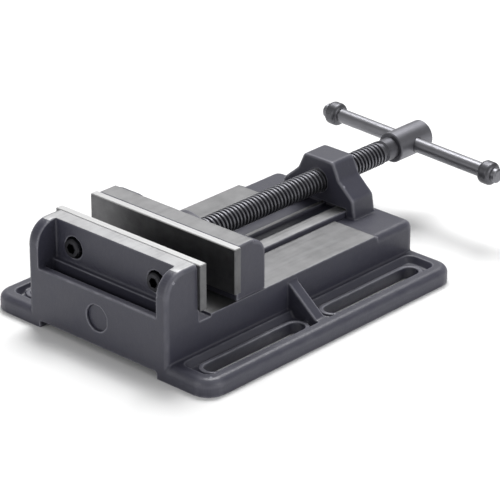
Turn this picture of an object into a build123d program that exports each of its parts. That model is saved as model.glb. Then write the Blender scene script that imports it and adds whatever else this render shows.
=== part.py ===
"""Drill-press vise: cast base with one fixed jaw, a jaw that a lead screw slides along two
ways, and a sliding handle bar.  Each piece is written to its own STEP file in parts/.

Millimetres.  X runs across the jaws, +Y from the fixed jaw towards the handle, Z up.
The origin is the middle of the underside of the base, on the table.
"""
import os
from math import cos, radians, sin

from build123d import *

os.makedirs("parts", exist_ok=True)

# Driving dimensions
jaw_width = 100
jaw_height = 29.5
jaw_opening = 19.7
plate_thickness = 4.5
base_length = 184
flange_width = 28
way_height = 26.5
screw_height = 40.7
screw_diameter = 12.7
screw_pitch = 2.54
bar_diameter = 7.8
bar_length = 121
bar_tilt = 1.9
bar_shift = 3
slot_width = 9.4

# Clearances of the fits
slide_gap = 0.1
way_gap = 0.05
running_gap = 0.08
bar_gap = 0.2

# Stations along Y, each measured back from the front face of the base
front_wall = 4.5
pocket_back = 13
fixed_seat = 21.5
fixed_face = fixed_seat + plate_thickness
moving_face = fixed_face + jaw_opening
moving_seat = moving_face + plate_thickness
jaw_thickness = 11.3
lug_length = 19.8
hub_length = 5
moving_back = moving_seat + jaw_thickness
lug_back = moving_seat + lug_length
hub_back = moving_back + hub_length
boss_length = 16.5
boss_back_inset = 5.5
boss_back = base_length - boss_back_inset
boss_front = boss_back - boss_length
tongue_past_boss_front = 10
tongue_end = boss_front + tongue_past_boss_front
way_to_boss = 9
way_end = boss_front - way_to_boss
head_clearance = 22
head_front = boss_back + jaw_opening + head_clearance
head_length = 26.8
bar_station = head_front + head_length / 2

# Base
body_side_inset = 2
body_width = jaw_width - 2 * body_side_inset
base_width = body_width + 2 * flange_width
base_corner = 10
flange_height = 9
flange_round = 4
foot_relief = 3.7
foot_inset = 40.7
rear_step = 1
rear_height = way_height - rear_step
rear_corner = 5
rear_edge_round = 4
trough_depth = 3.5
trough_width = 18.8
trough_margin = 7
trough_length = base_length - 2 * trough_margin
trough_taper = 35
trough_x = base_width / 2 - trough_margin - trough_width / 2
slot_inset = 15.3
slot_x = base_width / 2 - slot_inset
slot_gap = 18
slot_margin = 14
slot_length = base_length / 2 - slot_margin - slot_gap / 2
slot_y = (slot_length + slot_gap) / 2
pad_rim = 2.25
pad_height = 1.3
gusset_shift = 2.6
gusset_thickness = 6.5
gusset_front = base_length / 2 - gusset_shift - gusset_thickness / 2
gusset_top = way_height - 2.5
gusset_tip = base_width / 2 - trough_margin
gusset_tip_length = 2
gusset_bottom = flange_height - trough_depth - 1
channel_width = 39.4
lip_bottom = 14
cavity_front = 15
cavity_back = base_length - 10
cavity_side_wall = 10
arch_top = 30
plate_height_above_ways = 5
plate_bottom = way_height + plate_height_above_ways
jaw_top = way_height + jaw_height
jaw_round = 12
jaw_edge_round = 2
end_wall = 7
way_relief_depth = 1.5
way_relief_length = 5
lip_height = 1.3
lip_top = plate_bottom + lip_height
ledge_height = 3.2
ledge_top = plate_bottom + ledge_height
ledge_depth = 2.5
pocket_floor = 12
plug_diameter = 14
plug_height = 19
plug_thickness = 2.5
plug_recess = 1.5
overcut = 1
blank_overlap = 2

# Screw boss, as half widths and heights above the axis of the screw
boss_foot = 26
boss_foot_depth = 3
boss_shoulder = 24
boss_shoulder_height = -5.2
boss_waist = 14.2
boss_waist_height = 3.4
boss_crown = 10
boss_crown_height = 12.6
boss_round = 2.5
boss_edge_round = 1

# Jaw plates and the socket screws that hold them
plate_screw_x = 0.285 * jaw_width
plate_screw_z = way_height + 17.1
screw_hole = 6.5
screw_shank = 6
socket_head = 10
socket_head_height = 6
socket_size = 5
socket_depth = 3
counterbore = 11.5
fixed_counterbore_depth = 4
moving_counterbore_depth = 3
plate_thread_depth = plate_thickness - 1
plate_chamfer = 0.4
head_chamfer = 0.6

# Movable jaw, its tongue and its keeper
jaw_bottom = way_height + way_gap
lug_height = jaw_height - 1
lug_width = 14.5
lug_round = 9
lug_corner = 1.5
hub_radius = 14
web_half_width = 10
tongue_width = channel_width - 2 * slide_gap
tongue_top = arch_top - 1
tongue_bottom = lip_bottom - slide_gap
tongue_tail_lift = 1
tongue_tail_bottom = lip_bottom + tongue_tail_lift
tongue_trough_floor = 25.8
tongue_trough_width = 22.6
hub_to_trough = 2
trough_front = hub_back + hub_to_trough
trough_end_wall = 5
trough_back = tongue_end - trough_end_wall
rib_width = 3.2
rib_top = 27.3
keeper_width = 54
keeper_thickness = 4
keeper_front = moving_face + 5.3
keeper_length = 40
keeper_corner = 3
keeper_middle = keeper_front + keeper_length / 2
keeper_screw_spacing = 24
keeper_screw_reach = 9
keeper_screw_length_in_tongue = 8
hex_head = 10
hex_head_height = 4
washer_thickness = 1.6
washer_diameter = 11.8
washer_split = 1

# Lead screw
thread_depth = 1.4
journal_diameter = 9.5
journal_front_wall = 1.8
journal_front = moving_seat + journal_front_wall
bore_front = journal_front - 0.5
groove_diameter = 6.5
groove_radius = groove_diameter / 2 - 0.05
groove_half_width = 1.6
pin_diameter = 3
pin_setback = 1.8
pin_station = moving_back + pin_setback
pin_offset = (groove_diameter + pin_diameter) / 2
pin_length = 24
pin_chamfer = 0.3
thrust_washer_thickness = 1.5
thrust_washer_diameter = 18
thread_start = 2
head_diameter = 16.5
head_front_chamfer = 0.6
head_back_chamfer = 1.5
neck_length = 8
neck_diameter = 12
neck_taper = 1
thread_foot_share = 0.36
thread_crest_share = 0.19
thread_bite = 0.1

# Handle
knob_diameter = 12.6
knob_thickness = 8
knob_round = 2.5
knob_end_gap = 3
bar_chamfer = 0.8


def y_at(station):
    """Y of a station that is measured back from the front face of the base."""
    return station - base_length / 2


def front_plane(station):
    """Plane across the vise at a station.  Its local Y is up, and it extrudes towards
    the handle with a negative amount."""
    return Plane.XZ.offset(-y_at(station))


def block(x_size, y_from, y_to, z_from, z_to, mode=Mode.ADD):
    """Box between two stations and two heights, in the part that is being built."""
    with BuildSketch(Plane.XY.offset(z_from)) as footprint:
        with Locations((0, (y_at(y_from) + y_at(y_to)) / 2)):
            Rectangle(x_size, y_to - y_from)
    extrude(footprint.sketch, amount=z_to - z_from, mode=mode)


# Base casting: first the flange plate with its troughs and slots, then the body blanks
with BuildPart() as flange:
    with BuildSketch(Plane.XY):
        RectangleRounded(base_width, base_length, base_corner)
    extrude(amount=flange_height)
    fillet(flange.faces().sort_by(Axis.Z)[-1].edges(), flange_round)
    with BuildSketch(Plane.XY.offset(flange_height)):
        with Locations((trough_x, 0), (-trough_x, 0)):
            RectangleRounded(trough_width, trough_length, base_corner / 2)
    extrude(amount=-trough_depth, taper=trough_taper, mode=Mode.SUBTRACT)
    with BuildSketch(Plane.XY.offset(flange_height - trough_depth)):
        with GridLocations(2 * slot_x, 2 * slot_y, 2, 2):
            SlotOverall(slot_length + 2 * pad_rim, slot_width + 2 * pad_rim, rotation=90)
    extrude(amount=pad_height)

with BuildPart() as body_blank:
    with BuildSketch(Plane.YZ):
        with BuildLine():
            Polyline(
                (y_at(way_end + blank_overlap), foot_relief),
                (y_at(0), foot_relief),
                (y_at(0), jaw_top - jaw_round),
            )
            RadiusArc(
                (y_at(0), jaw_top - jaw_round), (y_at(jaw_round), jaw_top), jaw_round
            )
            Polyline(
                (y_at(jaw_round), jaw_top),
                (y_at(fixed_seat), jaw_top),
                (y_at(fixed_seat), plate_bottom),
                (y_at(fixed_seat + overcut), plate_bottom),
                (y_at(fixed_seat + overcut), way_height - way_relief_depth),
                (y_at(fixed_face + way_relief_length), way_height - way_relief_depth),
                (y_at(fixed_face + way_relief_length), way_height),
                (y_at(way_end), way_height),
                (y_at(way_end), rear_height),
                (y_at(way_end + blank_overlap), rear_height),
                (y_at(way_end + blank_overlap), foot_relief),
            )
        make_face()
    extrude(amount=body_width / 2, both=True)
    front_edges = body_blank.edges().filter_by(
        lambda edge: abs(edge.center().X) > body_width / 2 - overcut
        and edge.center().Y < y_at(jaw_round)
        and edge.center().Z > plate_bottom / 2
    )
    fillet(front_edges, jaw_edge_round)
    with BuildSketch(Plane.YZ):
        Polygon(
            (y_at(-overcut), lip_top),
            (y_at(front_wall), lip_top),
            (y_at(front_wall), pocket_floor),
            (y_at(pocket_back - ledge_depth), pocket_floor),
            (y_at(pocket_back - ledge_depth), ledge_top),
            (y_at(pocket_back), ledge_top),
            (y_at(pocket_back), jaw_top + overcut),
            (y_at(-overcut), jaw_top + overcut),
            align=None,
        )
    extrude(amount=body_width / 2 - end_wall, both=True, mode=Mode.SUBTRACT)

with BuildPart() as rear_blank:
    block(body_width, way_end + blank_overlap, base_length, foot_relief, rear_height)
    fillet(rear_blank.edges().filter_by(Axis.Z).sort_by(Axis.Y)[-2:], rear_corner)
    top_face = rear_blank.faces().sort_by(Axis.Z)[-1]
    rear_edges = top_face.edges().filter_by(lambda edge: edge.center().Y > y_at(way_end + rear_corner))
    fillet(rear_edges, rear_edge_round)

with BuildPart() as boss_blank:
    with BuildSketch(front_plane(boss_front)):
        Polygon(
            (-boss_foot, rear_height - boss_foot_depth),
            (-boss_shoulder, screw_height + boss_shoulder_height),
            (-boss_waist, screw_height + boss_waist_height),
            (-boss_crown, screw_height + boss_crown_height),
            (boss_crown, screw_height + boss_crown_height),
            (boss_waist, screw_height + boss_waist_height),
            (boss_shoulder, screw_height + boss_shoulder_height),
            (boss_foot, rear_height - boss_foot_depth),
            align=None,
        )
    extrude(amount=boss_front - boss_back)
    long_edges = boss_blank.edges().filter_by(Axis.Y).filter_by(
        lambda edge: edge.center().Z > rear_height
    )
    fillet(long_edges, boss_round)
    end_faces = boss_blank.faces().filter_by(Axis.Y)
    end_edges = end_faces.edges().filter_by(lambda edge: edge.center().Z > rear_height - overcut)
    fillet(end_edges, boss_edge_round)

with BuildPart() as base_casting:
    add(flange.part)
    add(body_blank.part)
    add(rear_blank.part)
    add(boss_blank.part)
    # Gusset between the two slots on each side
    with BuildSketch(front_plane(gusset_front)):
        for side in (-1, 1):
            Polygon(
                (side * (body_width / 2 - overcut), gusset_bottom),
                (side * (body_width / 2 - overcut), gusset_top),
                (side * body_width / 2, gusset_top),
                (side * (gusset_tip - gusset_tip_length), flange_height),
                (side * gusset_tip, flange_height),
                (side * gusset_tip, gusset_bottom),
                align=None,
            )
    extrude(amount=-gusset_thickness)
    # Channel for the tongue, running out under the screw boss, and the cavity below it
    past_back = base_length + overcut
    block(channel_width, fixed_face, past_back, lip_bottom, arch_top, Mode.SUBTRACT)
    cavity_width = body_width - 2 * cavity_side_wall
    block(cavity_width, cavity_front, cavity_back, 0, lip_bottom, Mode.SUBTRACT)
    # Relief between the feet
    block(2 * foot_inset, -overcut, past_back, -overcut, foot_relief, Mode.SUBTRACT)
    # Slots for the table bolts
    with BuildSketch(Plane.XY.offset(-overcut)):
        with GridLocations(2 * slot_x, 2 * slot_y, 2, 2):
            SlotOverall(slot_length, slot_width, rotation=90)
    extrude(amount=flange_height + 2 * overcut, mode=Mode.SUBTRACT)
    # Hole for the lead screw
    with BuildSketch(front_plane(boss_front - overcut)):
        with Locations((0, screw_height)):
            Circle(screw_diameter / 2 + running_gap)
    extrude(amount=-boss_length - 2 * overcut, mode=Mode.SUBTRACT)
    # Counterbored holes for the screws of the fixed jaw plate
    with BuildSketch(front_plane(pocket_back - overcut)):
        with Locations((-plate_screw_x, plate_screw_z), (plate_screw_x, plate_screw_z)):
            Circle(screw_hole / 2)
    extrude(amount=pocket_back - fixed_seat - 2 * overcut, mode=Mode.SUBTRACT)
    with BuildSketch(front_plane(pocket_back - ledge_depth)):
        with Locations((-plate_screw_x, plate_screw_z), (plate_screw_x, plate_screw_z)):
            Circle(counterbore / 2)
    extrude(amount=-ledge_depth - fixed_counterbore_depth, mode=Mode.SUBTRACT)
    # Core hole in the front wall
    with BuildSketch(front_plane(-overcut)):
        with Locations((0, plug_height)):
            Circle(plug_diameter / 2)
    extrude(amount=-front_wall - overcut, mode=Mode.SUBTRACT)
base_casting.part.label = "base_casting"
export_step(base_casting.part, "parts/base_casting.step")

# Plug pressed into the core hole
with BuildPart() as front_plug:
    with BuildSketch(front_plane(plug_recess)):
        with Locations((0, plug_height)):
            Circle(plug_diameter / 2)
    extrude(amount=-plug_thickness)
front_plug.part.label = "front_plug"
export_step(front_plug.part, "parts/front_plug.step")

# Jaw plates, with blind threaded holes for their screws
for jaw, face, screws_from in (("fixed", fixed_face, -1), ("movable", moving_face, 1)):
    with BuildPart() as jaw_plate:
        back = face + screws_from * plate_thickness
        block(jaw_width, min(face, back), max(face, back), plate_bottom, jaw_top)
        chamfer(jaw_plate.edges(), plate_chamfer)
        with BuildSketch(front_plane(back)):
            with Locations((-plate_screw_x, plate_screw_z), (plate_screw_x, plate_screw_z)):
                Circle(screw_shank / 2)
        extrude(amount=screws_from * plate_thread_depth, mode=Mode.SUBTRACT)
    jaw_plate.part.label = f"{jaw}_jaw_plate"
    export_step(jaw_plate.part, f"parts/{jaw}_jaw_plate.step")

    # Socket head cap screws, from the casting side into the plate
    if jaw == "fixed":
        head_seat = pocket_back + fixed_counterbore_depth
    else:
        head_seat = moving_back - moving_counterbore_depth
    shank_length = abs(head_seat - back) + plate_thread_depth
    for side, sign in (("left", -1), ("right", 1)):
        with BuildPart() as plate_screw:
            centre = (sign * plate_screw_x, plate_screw_z)
            with BuildSketch(front_plane(head_seat)):
                with Locations(centre):
                    Circle(socket_head / 2)
            extrude(amount=-screws_from * socket_head_height)
            chamfer(plate_screw.edges().sort_by(Axis.Y)[-1 if screws_from > 0 else 0], head_chamfer)
            with BuildSketch(front_plane(head_seat)):
                with Locations(centre):
                    Circle(screw_shank / 2)
            extrude(amount=screws_from * shank_length)
            with BuildSketch(front_plane(head_seat + screws_from * socket_head_height)):
                with Locations(centre):
                    RegularPolygon(socket_size / 2, 6, major_radius=False)
            extrude(amount=screws_from * socket_depth, mode=Mode.SUBTRACT)
        plate_screw.part.label = f"{jaw}_plate_screw_{side}"
        export_step(plate_screw.part, f"parts/{jaw}_plate_screw_{side}.step")

# Movable jaw: upright with two end lugs and a screw hub, on a tongue that fits the channel
with BuildPart() as lug_blank:
    with BuildSketch(Plane.YZ.offset(body_width / 2 - lug_width)):
        with BuildLine():
            Polyline(
                (y_at(lug_back), way_height + lug_height - lug_round),
                (y_at(lug_back), jaw_bottom),
                (y_at(moving_seat + overcut), jaw_bottom),
                (y_at(moving_seat + overcut), way_height + lug_height),
                (y_at(lug_back - lug_round), way_height + lug_height),
            )
            RadiusArc(
                (y_at(lug_back - lug_round), way_height + lug_height),
                (y_at(lug_back), way_height + lug_height - lug_round),
                lug_round,
            )
        make_face()
    extrude(amount=lug_width)
    fillet(lug_blank.edges().filter_by(Axis.Z).sort_by(Axis.Y)[-2:], lug_corner)

with BuildPart() as movable_jaw:
    block(body_width, moving_seat, moving_back, jaw_bottom, jaw_top)
    block(body_width, moving_seat - overcut, moving_seat + overcut, jaw_bottom, plate_bottom)
    add(lug_blank.part)
    add(mirror(lug_blank.part, Plane.YZ))
    with BuildSketch(front_plane(moving_seat + overcut)):
        with Locations((0, screw_height)):
            Circle(hub_radius)
    extrude(amount=moving_seat + overcut - hub_back)
    web_bottom = tongue_top - blank_overlap
    block(2 * web_half_width, moving_back - overcut, hub_back, web_bottom, screw_height)
    # Tongue, lower under the keeper and raised behind it to clear the end of the base
    tongue_front = moving_seat - overcut
    keeper_back = keeper_front + keeper_length
    block(tongue_width, tongue_front, tongue_end, tongue_tail_bottom, tongue_top)
    block(tongue_width, tongue_front, keeper_back, tongue_bottom, tongue_tail_bottom)
    # Shallow trough under the screw, with a low rib along its middle
    cut = (tongue_top + overcut, Mode.SUBTRACT)
    block(tongue_trough_width, trough_front, trough_back, tongue_trough_floor, *cut)
    rib_bottom = tongue_trough_floor - overcut
    block(rib_width, trough_front - overcut, trough_back + overcut, rib_bottom, rib_top)
    # Bore for the journal of the lead screw, and the two cross holes for its pins
    with BuildSketch(front_plane(hub_back + overcut)):
        with Locations((0, screw_height)):
            Circle(journal_diameter / 2 + running_gap)
    extrude(amount=hub_back + overcut - bore_front, mode=Mode.SUBTRACT)
    with BuildSketch(Plane.YZ):
        for side in (-1, 1):
            pin_height = screw_height + side * pin_offset
            with Locations((y_at(pin_station), pin_height)):
                Circle(pin_diameter / 2)
    extrude(amount=hub_radius + overcut, both=True, mode=Mode.SUBTRACT)
    # Counterbored holes for the screws of the movable jaw plate
    with BuildSketch(front_plane(moving_seat - overcut)):
        with Locations((-plate_screw_x, plate_screw_z), (plate_screw_x, plate_screw_z)):
            Circle(screw_hole / 2)
    extrude(amount=-jaw_thickness - 2 * overcut, mode=Mode.SUBTRACT)
    with BuildSketch(front_plane(moving_back - moving_counterbore_depth)):
        with Locations((-plate_screw_x, plate_screw_z), (plate_screw_x, plate_screw_z)):
            Circle(counterbore / 2)
    extrude(amount=-lug_round - moving_counterbore_depth, mode=Mode.SUBTRACT)
    # Threaded holes for the keeper screws
    with BuildSketch(Plane.XY.offset(tongue_bottom)):
        with Locations((0, y_at(keeper_middle))):
            with GridLocations(1, keeper_screw_spacing, 1, 2):
                Circle(screw_shank / 2)
    extrude(amount=keeper_screw_reach, mode=Mode.SUBTRACT)
movable_jaw.part.label = "movable_jaw"
export_step(movable_jaw.part, "parts/movable_jaw.step")

# Keeper plate that holds the movable jaw down, with its two screws and lock washers
with BuildPart() as keeper_plate:
    keeper_bottom = tongue_bottom - keeper_thickness
    block(keeper_width, keeper_front, keeper_back, keeper_bottom, tongue_bottom)
    fillet(keeper_plate.edges().filter_by(Axis.Z), keeper_corner)
    with BuildSketch(Plane.XY.offset(keeper_bottom)):
        with Locations((0, y_at(keeper_middle))):
            with GridLocations(1, keeper_screw_spacing, 1, 2):
                Circle(screw_hole / 2)
    extrude(amount=keeper_thickness, mode=Mode.SUBTRACT)
keeper_plate.part.label = "keeper_plate"
export_step(keeper_plate.part, "parts/keeper_plate.step")

for place, sign in (("front", -1), ("rear", 1)):
    keeper_screw_y = y_at(keeper_middle) + sign * keeper_screw_spacing / 2
    head_top = keeper_bottom - washer_thickness
    with BuildPart() as keeper_screw:
        with BuildSketch(Plane.XY.offset(head_top - hex_head_height)):
            with Locations((0, keeper_screw_y)):
                RegularPolygon(hex_head / 2, 6, major_radius=False)
        extrude(amount=hex_head_height)
        with BuildSketch(Plane.XY.offset(head_top)):
            with Locations((0, keeper_screw_y)):
                Circle(screw_shank / 2)
        extrude(amount=tongue_bottom - head_top + keeper_screw_length_in_tongue)
    keeper_screw.part.label = f"keeper_screw_{place}"
    export_step(keeper_screw.part, f"parts/keeper_screw_{place}.step")

    with BuildPart() as lock_washer:
        with BuildSketch(Plane.XY.offset(head_top)):
            with Locations((0, keeper_screw_y)):
                Circle(washer_diameter / 2)
                Circle(screw_hole / 2, mode=Mode.SUBTRACT)
            with Locations((washer_diameter / 2, keeper_screw_y)):
                Rectangle(washer_diameter - screw_hole / 2, washer_split, mode=Mode.SUBTRACT)
        extrude(amount=washer_thickness)
    lock_washer.part.label = f"lock_washer_{place}"
    export_step(lock_washer.part, f"parts/lock_washer_{place}.step")

# Thrust washer between the hub and the shoulder of the lead screw
with BuildPart() as thrust_washer:
    with BuildSketch(front_plane(hub_back)):
        with Locations((0, screw_height)):
            Circle(thrust_washer_diameter / 2)
            Circle(journal_diameter / 2 + running_gap, mode=Mode.SUBTRACT)
    extrude(amount=-thrust_washer_thickness)
thrust_washer.part.label = "thrust_washer"
export_step(thrust_washer.part, "parts/thrust_washer.step")

# Cross pins that hold the journal in the hub
for place, sign in (("lower", -1), ("upper", 1)):
    with BuildPart() as retaining_pin:
        with BuildSketch(Plane.YZ):
            pin_height = screw_height + sign * pin_offset
            with Locations((y_at(pin_station), pin_height)):
                Circle(pin_diameter / 2)
        extrude(amount=pin_length / 2, both=True)
        chamfer(retaining_pin.edges().filter_by(GeomType.CIRCLE), pin_chamfer)
    retaining_pin.part.label = f"retaining_pin_{place}"
    export_step(retaining_pin.part, f"parts/retaining_pin_{place}.step")

# The bar crosses the screw head with its middle shifted along this tilted plane's normal
bar_direction = (cos(radians(bar_tilt)), 0, -sin(radians(bar_tilt)))
bar_plane = Plane(
    origin=(0, y_at(bar_station), screw_height), x_dir=(0, 1, 0), z_dir=bar_direction
)

# Lead screw: journal, helical thread, plain neck and a head with a cross hole
shoulder = hub_back + thrust_washer_thickness + running_gap
thread_front = shoulder + thread_start
thread_back = head_front - neck_length
thread_root = screw_diameter / 2 - thread_depth
head_back = head_front + head_length
head_edge = screw_height + head_diameter / 2
with BuildPart() as thread_ridge:
    with BuildLine():
        helix = Helix(
            pitch=screw_pitch,
            height=thread_back - thread_front - screw_pitch,
            radius=thread_root,
            center=(0, y_at(thread_front) + screw_pitch / 2, screw_height),
            direction=(0, 1, 0),
        )
    with BuildSketch(Plane(origin=helix @ 0, x_dir=(0, 1, 0), z_dir=helix % 0)):
        Polygon(
            (-thread_foot_share * screw_pitch, -thread_bite),
            (thread_foot_share * screw_pitch, -thread_bite),
            (thread_crest_share * screw_pitch, thread_depth),
            (-thread_crest_share * screw_pitch, thread_depth),
            align=None,
        )
    sweep(is_frenet=True)

with BuildPart() as lead_screw:
    with BuildSketch(Plane.YZ):
        with BuildLine():
            Polyline(
                (y_at(journal_front), screw_height),
                (y_at(journal_front), screw_height + journal_diameter / 2),
                (y_at(pin_station - groove_half_width), screw_height + journal_diameter / 2),
                (y_at(pin_station - groove_half_width), screw_height + groove_radius),
                (y_at(pin_station + groove_half_width), screw_height + groove_radius),
                (y_at(pin_station + groove_half_width), screw_height + journal_diameter / 2),
                (y_at(shoulder), screw_height + journal_diameter / 2),
                (y_at(shoulder), screw_height + screw_diameter / 2),
                (y_at(thread_front), screw_height + screw_diameter / 2),
                (y_at(thread_front), screw_height + thread_root),
                (y_at(thread_back), screw_height + thread_root),
                (y_at(thread_back + neck_taper), screw_height + neck_diameter / 2),
                (y_at(head_front), screw_height + neck_diameter / 2),
                (y_at(head_front), head_edge - head_front_chamfer),
                (y_at(head_front + head_front_chamfer), head_edge),
                (y_at(head_back - head_back_chamfer), head_edge),
                (y_at(head_back), head_edge - head_back_chamfer),
                (y_at(head_back), screw_height),
                close=True,
            )
        make_face()
    revolve(axis=Axis((0, 0, screw_height), (0, 1, 0)))
    add(thread_ridge.part)
    with BuildSketch(bar_plane):
        Circle(bar_diameter / 2 + bar_gap)
    extrude(amount=head_diameter, both=True, mode=Mode.SUBTRACT)
lead_screw.part.label = "lead_screw"
export_step(lead_screw.part, "parts/lead_screw.step")

# Handle bar and the two knobs pressed on it
with BuildPart() as handle_bar:
    with BuildSketch(bar_plane.offset(bar_shift)):
        Circle(bar_diameter / 2)
    extrude(amount=bar_length / 2, both=True)
    chamfer(handle_bar.edges().filter_by(GeomType.CIRCLE), bar_chamfer)
handle_bar.part.label = "handle_bar"
export_step(handle_bar.part, "parts/handle_bar.step")

for side, sign in (("left", -1), ("right", 1)):
    knob_middle = sign * (bar_length / 2 - knob_end_gap - knob_thickness / 2)
    with BuildPart() as handle_knob:
        with BuildSketch(bar_plane.offset(bar_shift + knob_middle)):
            Circle(knob_diameter / 2)
        extrude(amount=knob_thickness / 2, both=True)
        fillet(handle_knob.edges().filter_by(GeomType.CIRCLE), knob_round)
        with BuildSketch(bar_plane.offset(bar_shift + knob_middle)):
            Circle(bar_diameter / 2)
        extrude(amount=knob_thickness, both=True, mode=Mode.SUBTRACT)
    handle_knob.part.label = f"handle_knob_{side}"
    export_step(handle_knob.part, f"parts/handle_knob_{side}.step")
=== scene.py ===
"""Looks of the drill-press vise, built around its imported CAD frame.  Metres, in the CAD's frame."""
import math

import bpy
from mathutils import Matrix, Vector


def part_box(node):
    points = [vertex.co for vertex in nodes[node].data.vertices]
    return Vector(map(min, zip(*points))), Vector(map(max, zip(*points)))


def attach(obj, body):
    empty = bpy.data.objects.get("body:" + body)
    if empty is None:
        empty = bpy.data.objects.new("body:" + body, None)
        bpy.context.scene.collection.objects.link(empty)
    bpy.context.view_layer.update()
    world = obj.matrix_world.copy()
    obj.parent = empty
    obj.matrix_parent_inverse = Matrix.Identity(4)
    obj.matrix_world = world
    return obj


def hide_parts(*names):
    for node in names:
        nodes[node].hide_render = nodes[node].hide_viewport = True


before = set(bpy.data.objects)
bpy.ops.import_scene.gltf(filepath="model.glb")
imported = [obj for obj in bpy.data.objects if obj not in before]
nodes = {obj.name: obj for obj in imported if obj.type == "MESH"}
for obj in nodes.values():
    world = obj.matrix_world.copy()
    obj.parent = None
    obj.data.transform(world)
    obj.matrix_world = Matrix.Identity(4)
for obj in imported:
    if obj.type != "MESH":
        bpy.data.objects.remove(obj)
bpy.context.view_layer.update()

MM = 0.001

# ---------------------------------------------------------------- camera

AZIMUTH = math.radians(42.94)
ELEVATION = math.radians(25.08)
LENS_MM = 215
SENSOR_MM = 36
DISTANCE = 1.5191
AIM = Vector((0, 0.00102, 0.02448))
SIDE_STEP = 0.01164
DOWN_STEP = 0.00043


def make_camera():
    """A long lens above the front right corner, level, with no lens shift."""
    back = Vector(
        (
            math.sin(AZIMUTH) * math.cos(ELEVATION),
            -math.cos(AZIMUTH) * math.cos(ELEVATION),
            math.sin(ELEVATION),
        )
    )
    right = Vector((math.cos(AZIMUTH), math.sin(AZIMUTH), 0))
    up = back.cross(right)
    data = bpy.data.cameras.new("camera")
    data.lens = LENS_MM
    data.sensor_width = SENSOR_MM
    data.clip_end = 50
    camera = bpy.data.objects.new("camera", data)
    bpy.context.scene.collection.objects.link(camera)
    turn = Matrix((right, up, back)).transposed().to_4x4()
    place = AIM + back * DISTANCE + right * SIDE_STEP - up * DOWN_STEP
    camera.matrix_world = Matrix.Translation(place) @ turn
    bpy.context.scene.camera = camera


# ---------------------------------------------------------------- node helpers


class Shader:
    """A node material that is written down as a chain of small calls."""

    def __init__(self, name):
        self.material = bpy.data.materials.new(name)
        self.material.use_nodes = True
        self.tree = self.material.node_tree
        self.tree.nodes.clear()
        self.surface = self.tree.nodes.new("ShaderNodeBsdfPrincipled")
        output = self.tree.nodes.new("ShaderNodeOutputMaterial")
        self.tree.links.new(self.surface.outputs[0], output.inputs[0])
        place = self.tree.nodes.new("ShaderNodeTexCoord")
        self.point = place.outputs["Object"]
        self.normal = place.outputs["Normal"]

    def set(self, **values):
        """Give the surface shader a number, a colour or another node's output."""
        for key, value in values.items():
            self.feed(self.surface.inputs[key.replace("_", " ")], value)

    def feed(self, socket, value):
        if isinstance(value, bpy.types.NodeSocket):
            self.tree.links.new(value, socket)
        elif isinstance(value, tuple) and len(value) == 3 and socket.type == "RGBA":
            socket.default_value = (*value, 1)
        else:
            socket.default_value = value

    def math(self, operation, first, second=0.0):
        node = self.tree.nodes.new("ShaderNodeMath")
        node.operation = operation
        for socket, value in zip(node.inputs, (first, second)):
            self.feed(socket, value)
        return node.outputs[0]

    def axis(self, vector, letter):
        node = self.tree.nodes.new("ShaderNodeSeparateXYZ")
        self.feed(node.inputs[0], vector)
        return node.outputs[letter]

    def stretch(self, scale):
        """Object coordinates with each axis scaled, for texture that runs along one of them."""
        node = self.tree.nodes.new("ShaderNodeMapping")
        self.feed(node.inputs["Vector"], self.point)
        node.inputs["Scale"].default_value = scale
        return node.outputs[0]

    def noise(self, scale, detail=3.0, vector=None, rough=0.55):
        node = self.tree.nodes.new("ShaderNodeTexNoise")
        self.feed(node.inputs["Vector"], vector or self.point)
        node.inputs["Scale"].default_value = scale
        node.inputs["Detail"].default_value = detail
        node.inputs["Roughness"].default_value = rough
        return node.outputs["Fac"]

    def span(self, value, low, high, to_low=0.0, to_high=1.0):
        """The value's range low..high mapped to another range, and held at its ends."""
        node = self.tree.nodes.new("ShaderNodeMapRange")
        for key, number in zip(
            ("Value", "From Min", "From Max", "To Min", "To Max"),
            (value, low, high, to_low, to_high),
        ):
            self.feed(node.inputs[key], number)
        return node.outputs[0]

    def mix(self, factor, first, second):
        node = self.tree.nodes.new("ShaderNodeMix")
        node.data_type = "RGBA"
        self.feed(node.inputs["Factor"], factor)
        self.feed(node.inputs[6], first)
        self.feed(node.inputs[7], second)
        return node.outputs[2]

    def blend(self, factor, first, second):
        """A number between two numbers."""
        step = self.math("SUBTRACT", second, first)
        return self.math("ADD", self.math("MULTIPLY", factor, step), first)

    def bump(self, height, distance):
        node = self.tree.nodes.new("ShaderNodeBump")
        node.inputs["Strength"].default_value = 1
        node.inputs["Distance"].default_value = distance
        self.feed(node.inputs["Height"], height)
        return node.outputs[0]

    def pointiness(self):
        return self.tree.nodes.new("ShaderNodeNewGeometry").outputs["Pointiness"]


# ---------------------------------------------------------------- materials

PAINT = (0.036, 0.036, 0.055)
PAINT_PALE = (0.05, 0.05, 0.064)
# Worn paint on the edges, also used for painted edge highlights
PAINT_WORN_AND_HIGHLIGHT = (0.24, 0.24, 0.275)
IRON = (0.36, 0.36, 0.365)
IRON_DARK = (0.25, 0.25, 0.255)
IRON_LIGHT = (0.52, 0.52, 0.525)
SKIN_DEPTH = 0.22 * MM
STEEL_LINE_DEPTH = 0.02 * MM


def ground_mask(shader, planes):
    """1 on the faces of a casting that are ground: the ones that look up, in the given
    boxes (lowest and highest corner)."""
    up = shader.span(shader.axis(shader.normal, "Z"), 0.93, 0.985)
    mask = 0.0
    for low, high in planes:
        inside = up
        for letter, start, end in zip("XYZ", low, high):
            along = shader.axis(shader.point, letter)
            if letter == "X" and start >= 0:
                along = shader.math("ABSOLUTE", along)
            inside = shader.math("MULTIPLY", inside, shader.math("GREATER_THAN", along, start))
            inside = shader.math("MULTIPLY", inside, shader.math("LESS_THAN", along, end))
        mask = shader.math("MAXIMUM", mask, inside)
    return mask


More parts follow.
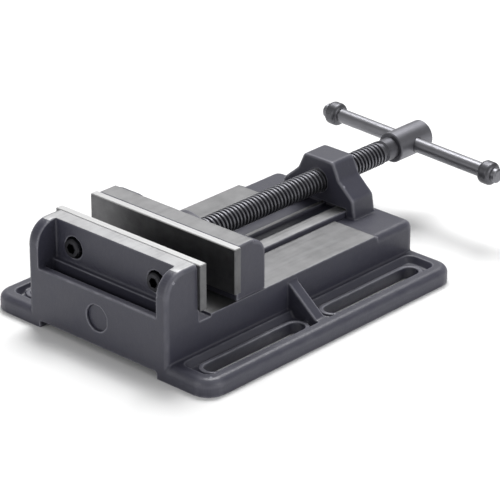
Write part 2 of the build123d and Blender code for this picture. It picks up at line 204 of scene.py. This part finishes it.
def casting_material(name, planes, low_tone=1.0, high_tone=1.0, wear_and_highlight=0.75):
    """Satin paint over cast iron, with ground bare faces whose tone goes from low_tone on the ways to
    high_tone on top of the jaws; this change of tone by height is painted light and shade on one and
    the same ground iron."""
    s = Shader(name)
    mask = ground_mask(s, planes)
    # Paint: fine pebbled skin over the waves of the sand mould, worn lighter on the edges, which also
    # serves as painted highlight lines along the edges
    skin = s.noise(1500, 4)
    waves = s.noise(160, 3)
    blotch = s.noise(55, 5, rough=0.65)
    # The lighter edges are partly real wear and partly painted highlight lines along every convex
    # edge
    worn = s.math("MULTIPLY", s.span(s.pointiness(), 0.502, 0.54), s.span(blotch, 0.2, 0.45))
    paint = s.mix(s.span(blotch, 0.3, 0.75, 0.0, 0.45), PAINT, PAINT_PALE)
    paint = s.mix(s.math("MULTIPLY", worn, wear_and_highlight), paint, PAINT_WORN_AND_HIGHLIGHT)
    paint_rough = s.span(skin, 0.3, 0.75, 0.36, 0.5)
    # Ground iron: lines along the stroke of the grinder, with a faint mottle
    lines = s.noise(1, 5, s.stretch((900, 22, 900)), 0.7)
    mottle = s.noise(90, 4, rough=0.6)
    iron = s.mix(s.span(mottle, 0.3, 0.75), IRON, IRON_DARK)
    iron = s.mix(s.span(lines, 0.35, 0.7, 0.0, 0.35), iron, IRON_LIGHT)
    # Painted light and shade: the ground iron is darkened or lightened by height, from low_tone at
    # the ways to high_tone at the jaw tops, to match how brightly each face is lit
    tone = s.span(s.axis(s.point, "Z"), 0.03, 0.05, low_tone, high_tone)
    iron = s.mix(tone, (0, 0, 0), iron)
    iron_rough = s.span(lines, 0.3, 0.7, 0.4, 0.56)
    height = s.math("ADD", s.math("MULTIPLY", skin, 0.3), waves)
    height = s.blend(mask, height, s.math("MULTIPLY", lines, 0.12))
    s.set(
        Base_Color=s.mix(mask, paint, iron),
        Metallic=mask,
        Roughness=s.blend(mask, paint_rough, iron_rough),
        Normal=s.bump(height, SKIN_DEPTH),
    )
    return s.material


def steel_material(name, base, marks, lines_along, rough):
    """Steel with fine lines along one axis and a faint mottle."""
    s = Shader(name)
    scale = [1400, 1400, 1400]
    scale["XYZ".index(lines_along)] = 30
    lines = s.noise(1, 5, s.stretch(scale), 0.7)
    mottle = s.noise(120, 4, rough=0.6)
    worn = s.span(s.pointiness(), 0.52, 0.62)
    colour = s.mix(s.span(mottle, 0.3, 0.75, 0.0, 0.8), base, marks)
    bright = tuple(1.6 * channel + 0.05 for channel in base)
    colour = s.mix(s.math("MULTIPLY", worn, 0.5), colour, bright)
    s.set(
        Base_Color=colour,
        Roughness=s.span(lines, 0.3, 0.7, rough - 0.06, rough + 0.1),
        Normal=s.bump(lines, STEEL_LINE_DEPTH),
    )
    s.surface.inputs["Metallic"].default_value = 1
    return s.material


def plate_material(name, top):
    """Steel made near black on its faces as painted shade, standing in for the shade and dark
    reflection between the jaws, with the top edge ground bright together with the jaw.
    """
    s = Shader(name)
    bright = s.math("GREATER_THAN", s.axis(s.point, "Z"), top)
    lines = s.noise(1, 5, s.stretch((30, 1400, 1400)), 0.7)
    mottle = s.noise(110, 5, rough=0.65)
    # Painted shade: the plate faces are made near black to stand in for the shade and dark reflection
    # in the gap between the jaws
    painted_shade_black = s.mix(s.span(mottle, 0.3, 0.75), (0.12, 0.12, 0.123), (0.18, 0.18, 0.184))
    ground = s.mix(s.span(lines, 0.3, 0.7), (0.6, 0.6, 0.6), (0.5, 0.5, 0.5))
    colour = s.mix(bright, painted_shade_black, ground)
    s.set(
        Base_Color=colour,
        Roughness=s.blend(bright, s.span(lines, 0.3, 0.7, 0.38, 0.5), 0.35),
        Normal=s.bump(lines, STEEL_LINE_DEPTH),
    )
    s.surface.inputs["Metallic"].default_value = 1
    return s.material


# ---------------------------------------------------------------- pieces

SMOOTH_PASSES = 4
KEPT_FACES = 0.22


def cast_copy(node, name, voxel):
    """A copy of a cast node with the small radii that a casting has on all its edges."""
    mesh = nodes[node].data.copy()
    piece = bpy.data.objects.new(name, mesh)
    bpy.context.scene.collection.objects.link(piece)
    remesh = piece.modifiers.new("remesh", "REMESH")
    remesh.mode = "VOXEL"
    remesh.voxel_size = voxel
    remesh.use_smooth_shade = True
    smooth = piece.modifiers.new("smooth", "SMOOTH")
    smooth.factor = 0.5
    smooth.iterations = SMOOTH_PASSES
    thin = piece.modifiers.new("thin", "DECIMATE")
    thin.ratio = KEPT_FACES
    graph = bpy.context.evaluated_depsgraph_get()
    final = bpy.data.meshes.new_from_object(piece.evaluated_get(graph))
    piece.modifiers.clear()
    piece.data = final
    final.materials.clear()
    for polygon in final.polygons:
        polygon.use_smooth = True
    return piece


def show(node, material):
    """Give a CAD node its material."""
    mesh = nodes[node].data
    mesh.materials.clear()
    mesh.materials.append(material)


base_low, base_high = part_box("base_casting")
_, fixed_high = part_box("fixed_jaw_plate")
jaw_low, jaw_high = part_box("movable_jaw")
moving_low, moving_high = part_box("movable_jaw_plate")

EDGE = 0.4 * MM
PLATE_OVER_WAYS = 5 * MM
WAY_INSET = 31 * MM
WAY_INNER = 19 * MM
TONGUE_SIDE = 20 * MM
BEYOND_SIDE = 60 * MM
RIB_LOW = 0.5 * MM
TONGUE_HIGH = 2.9 * MM

make_camera()

# Ground faces: the ways and the top of the fixed jaw, then the top of the movable jaw and
# the rim and rib of its tongue
way_z = moving_low[2] - PLATE_OVER_WAYS
way_planes = [
    (
        (WAY_INNER, base_low[1] + WAY_INSET, way_z - EDGE),
        (BEYOND_SIDE, base_high[1] - WAY_INSET, way_z + EDGE),
    ),
    ((0, base_low[1], base_high[2] - EDGE), (BEYOND_SIDE, fixed_high[1], base_high[2] + EDGE)),
]
jaw_planes = [
    ((0, jaw_low[1], jaw_high[2] - EDGE), (BEYOND_SIDE, jaw_high[1], jaw_high[2] + EDGE)),
    ((0, jaw_low[1], way_z + RIB_LOW), (TONGUE_SIDE, jaw_high[1], way_z + TONGUE_HIGH)),
]

base_body = cast_copy("base_casting", "base_body", 0.5 * MM)
base_body.data.materials.append(casting_material("base_paint", way_planes, 0.58, 0.95))
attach(base_body, "base")
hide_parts("base_casting")

jaw_body = cast_copy("movable_jaw", "jaw_body", 0.45 * MM)
jaw_body.data.materials.append(casting_material("jaw_paint", jaw_planes, 0.85, 0.6))
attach(jaw_body, "slide")
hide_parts("movable_jaw")

show("front_plug", casting_material("plug_paint", [], wear_and_highlight=0.0))

plate_steel = plate_material("jaw_plate_steel", moving_high[2] - EDGE)
for node in ("fixed_jaw_plate", "movable_jaw_plate"):
    show(node, plate_steel)

screw_steel = steel_material("screw_steel", (0.15, 0.15, 0.165), (0.1, 0.1, 0.11), "Y", 0.46)
show("lead_screw", screw_steel)
bar_steel = steel_material("bar_steel", (0.19, 0.19, 0.205), (0.12, 0.12, 0.13), "X", 0.4)
show("handle_bar", bar_steel)
knob_steel = steel_material("knob_steel", (0.13, 0.13, 0.14), (0.09, 0.09, 0.1), "X", 0.44)
for node in ("handle_knob_left", "handle_knob_right"):
    show(node, knob_steel)
black_steel = steel_material("black_oxide", (0.035, 0.035, 0.04), (0.02, 0.02, 0.022), "Y", 0.38)
for jaw in ("fixed", "movable"):
    for side in ("left", "right"):
        show(f"{jaw}_plate_screw_{side}", black_steel)
plain_steel = steel_material("plain_steel", (0.5, 0.5, 0.5), (0.36, 0.36, 0.36), "X", 0.36)
for node in nodes:
    if node.startswith(("keeper", "lock_washer", "thrust_washer", "retaining_pin")):
        show(node, plain_steel)

# ---------------------------------------------------------------- stage


def make_floor():
    mesh = bpy.data.meshes.new("floor")
    half = 12
    corners = [(-half, -half, 0), (half, -half, 0), (half, half, 0), (-half, half, 0)]
    mesh.from_pydata(corners, [], [(0, 1, 2, 3)])
    floor = bpy.data.objects.new("floor", mesh)
    bpy.context.scene.collection.objects.link(floor)
    s = Shader("floor_paper")
    s.set(Base_Color=s.mix(s.noise(3), (0.9, 0.9, 0.9), (0.88, 0.88, 0.88)))
    s.surface.inputs["Roughness"].default_value = 0.8
    s.surface.inputs["Specular IOR Level"].default_value = 0.2
    mesh.materials.append(s.material)


LIGHT_TARGET = Vector((0, 0.01, 0.03))


def area_light(name, place, size, power):
    data = bpy.data.lights.new(name, "AREA")
    data.shape = "RECTANGLE"
    data.size, data.size_y = size
    data.energy = power
    light = bpy.data.objects.new(name, data)
    bpy.context.scene.collection.objects.link(light)
    light.location = place
    aim = LIGHT_TARGET - Vector(place)
    light.rotation_euler = aim.to_track_quat("-Z", "Y").to_euler()


make_floor()
area_light("top_back", (-0.5, 0.7, 1.6), (1.0, 0.8), 33)
area_light("back_left", (-1.35, 1.3, 0.85), (1.6, 0.7), 2.0)
area_light("right", (1.6, 0.2, 0.5), (0.8, 0.5), 7)
area_light("front", (-0.4, -1.7, 0.7), (0.9, 0.6), 5.5)

world = bpy.data.worlds.new("studio")
world.use_nodes = True
background = world.node_tree.nodes["Background"]
background.inputs["Color"].default_value = (1, 1, 1, 1)
background.inputs["Strength"].default_value = 0.37
bpy.context.scene.world = world
bpy.context.scene.view_settings.view_transform = "Standard"
